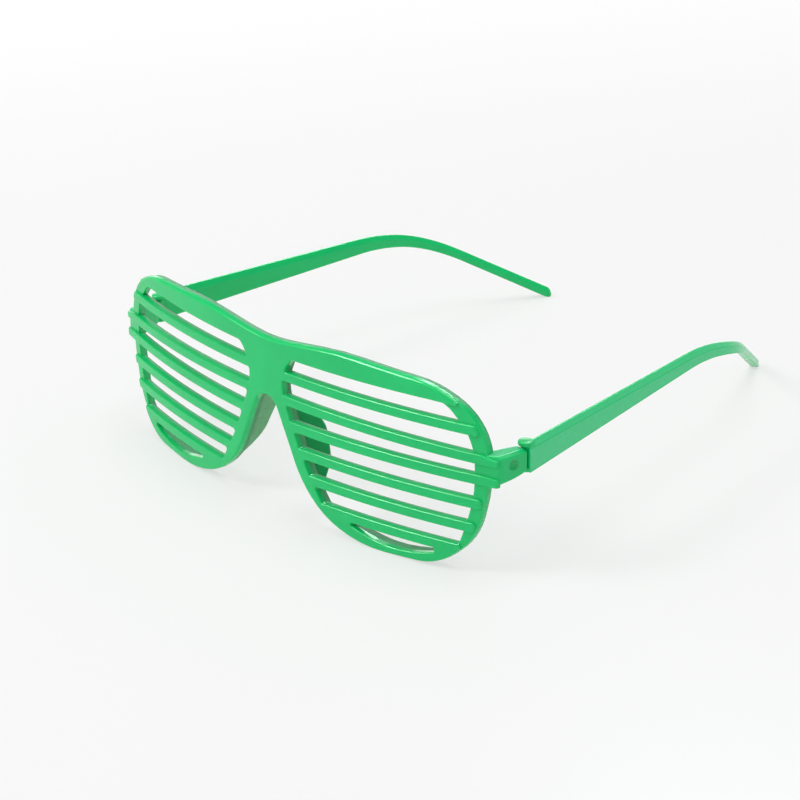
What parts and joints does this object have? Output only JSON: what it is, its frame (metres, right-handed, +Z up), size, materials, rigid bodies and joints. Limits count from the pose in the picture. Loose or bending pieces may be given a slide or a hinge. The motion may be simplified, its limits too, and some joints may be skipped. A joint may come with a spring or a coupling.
{
  "type": "party glasses",
  "caption": "Slatted party glasses: a bowed one-piece plastic front with horizontal slats in place of lenses, moulded nose pads and folding temples.",
  "frame": {"origin": "middle of the footprint, on the floor on which the rims and the temple tips stand, with the temples open", "axes": "+Z up; the front faces -Y and the temples run back along +Y; +X is the wearer's left"},
  "size_m": [0.153, 0.1506, 0.0514],
  "materials": {
    "plastic": "glossy moulded green plastic",
    "pad": "finely textured matt green plastic"
  },
  "bodies": {
    "front": {"front_frame": "plastic", "slat_left_1": "plastic", "slat_left_2": "plastic", "slat_left_3": "plastic", "slat_left_4": "plastic", "slat_left_5": "plastic", "slat_left_6": "plastic", "slat_right_1": "plastic", "slat_right_2": "plastic", "slat_right_3": "plastic", "slat_right_4": "plastic", "slat_right_5": "plastic", "slat_right_6": "plastic", "nose_pad_left": "pad", "nose_pad_right": "pad", "hinge_lug_left": "plastic", "hinge_lug_right": "plastic"},
    "left_temple": {"temple_left": "plastic"},
    "right_temple": {"temple_right": "plastic"}
  },
  "joints": [
    {"name": "left_hinge", "type": "hinge", "parent": "front", "child": "left_temple", "pos_m": [0.0741, -0.0518, 0.03044], "axis": [0, 0.0761, 0.9971], "range_deg": [0, 78]},
    {"name": "right_hinge", "type": "hinge", "parent": "front", "child": "right_temple", "pos_m": [-0.0741, -0.0518, 0.03044], "axis": [0, -0.0761, -0.9971], "range_deg": [0, 70]}
  ]
}
